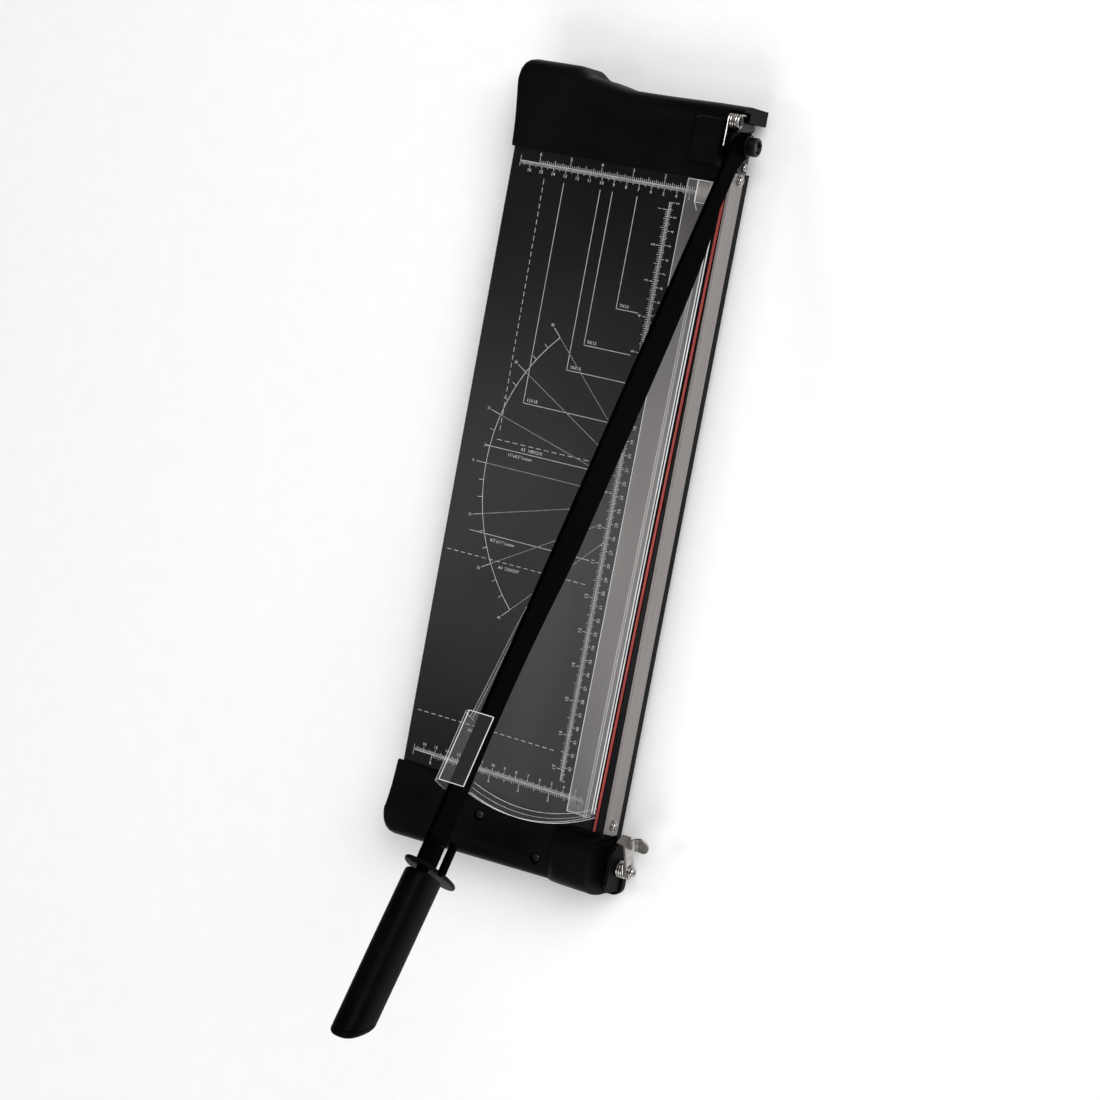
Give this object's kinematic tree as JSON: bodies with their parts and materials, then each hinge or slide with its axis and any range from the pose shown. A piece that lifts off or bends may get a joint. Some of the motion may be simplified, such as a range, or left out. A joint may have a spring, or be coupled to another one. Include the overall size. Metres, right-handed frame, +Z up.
{
  "type": "guillotine paper cutter",
  "caption": "Lever guillotine paper cutter: flat ruled table, fences at both ends, raised hinged blade arm with hand guard and grip, clear clamp and finger guard, side latch.",
  "frame": {"origin": "centre of the bounding box on the plane the rubber feet stand on, with the arm raised", "axes": "+Z up from the table, +Y toward the pivot end, +X toward the cutting edge side"},
  "size_m": [0.209, 0.6148, 0.3622],
  "materials": {
    "black_plastic": "fine-grained satin black moulding",
    "table_black": "satin black coated plate with pale printed scales",
    "blade_black": "black coated steel",
    "grip_black": "matte black grip plastic",
    "knife_steel": "ground steel",
    "zinc": "zinc or nickel plated",
    "dark_steel": "dark blued steel",
    "cut_red": "red cut line strip",
    "clear": "clear acrylic",
    "rubber": "matte rubber",
    "bronze": "sintered bronze"
  },
  "bodies": {
    "base": {"base_frame": "black_plastic", "bed_knife": "knife_steel", "bracket_screw_1": "zinc", "bracket_screw_2": "zinc", "clamp_pin_front": "clear", "clamp_pin_rear": "clear", "cut_strip": "cut_red", "foot_1": "rubber", "foot_2": "rubber", "foot_3": "rubber", "foot_4": "rubber", "foot_screw_1": "zinc", "foot_screw_2": "zinc", "foot_screw_3": "zinc", "foot_screw_4": "zinc", "front_cap": "black_plastic", "front_cap_screw_left": "dark_steel", "front_cap_screw_right": "dark_steel", "knife_screw_front": "zinc", "knife_screw_rear": "zinc", "knife_washer_front": "zinc", "knife_washer_rear": "zinc", "latch_screw": "zinc", "latch_spring": "zinc", "latch_stud": "zinc", "latch_washer": "zinc", "lift_spring": "zinc", "pivot_bolt": "zinc", "pivot_bracket": "dark_steel", "pivot_nut": "dark_steel", "pivot_washer": "dark_steel", "rear_cap": "black_plastic", "spring_post": "dark_steel", "table_plate": "table_black"},
    "arm": {"blade_bar": "blade_black", "blade": "blade_black", "pivot_bushing": "bronze", "hand_guard": "grip_black", "handle_grip": "grip_black", "handle_plug": "grip_black", "lock_rod": "blade_black", "blade_screw_1": "dark_steel", "blade_screw_2": "dark_steel", "blade_screw_3": "dark_steel", "blade_screw_4": "dark_steel"},
    "clamp": {"clamp_bar": "clear", "finger_guard": "clear", "guard_rivet_1": "clear", "guard_rivet_2": "clear", "guard_rivet_3": "clear"},
    "latch": {"latch_plate": "zinc"}
  },
  "joints": [
    {"name": "arm_hinge", "type": "hinge", "parent": "base", "child": "arm", "pos_m": [0.0779, 0.27109, 0.033], "axis": [1, 0, 0], "range_deg": [0, 26.7]},
    {"name": "clamp_lift", "type": "slide", "parent": "base", "child": "clamp", "axis": [0, 0, 1], "range_m": [0, 0.004]},
    {"name": "latch_swing", "type": "hinge", "parent": "base", "child": "latch", "pos_m": [0.0921, -0.24781, 0.024], "axis": [1, 0, 0], "range_deg": [0, 62], "stiffness_Nm_per_rad": 0.01, "springref_deg": -28.65}
  ]
}
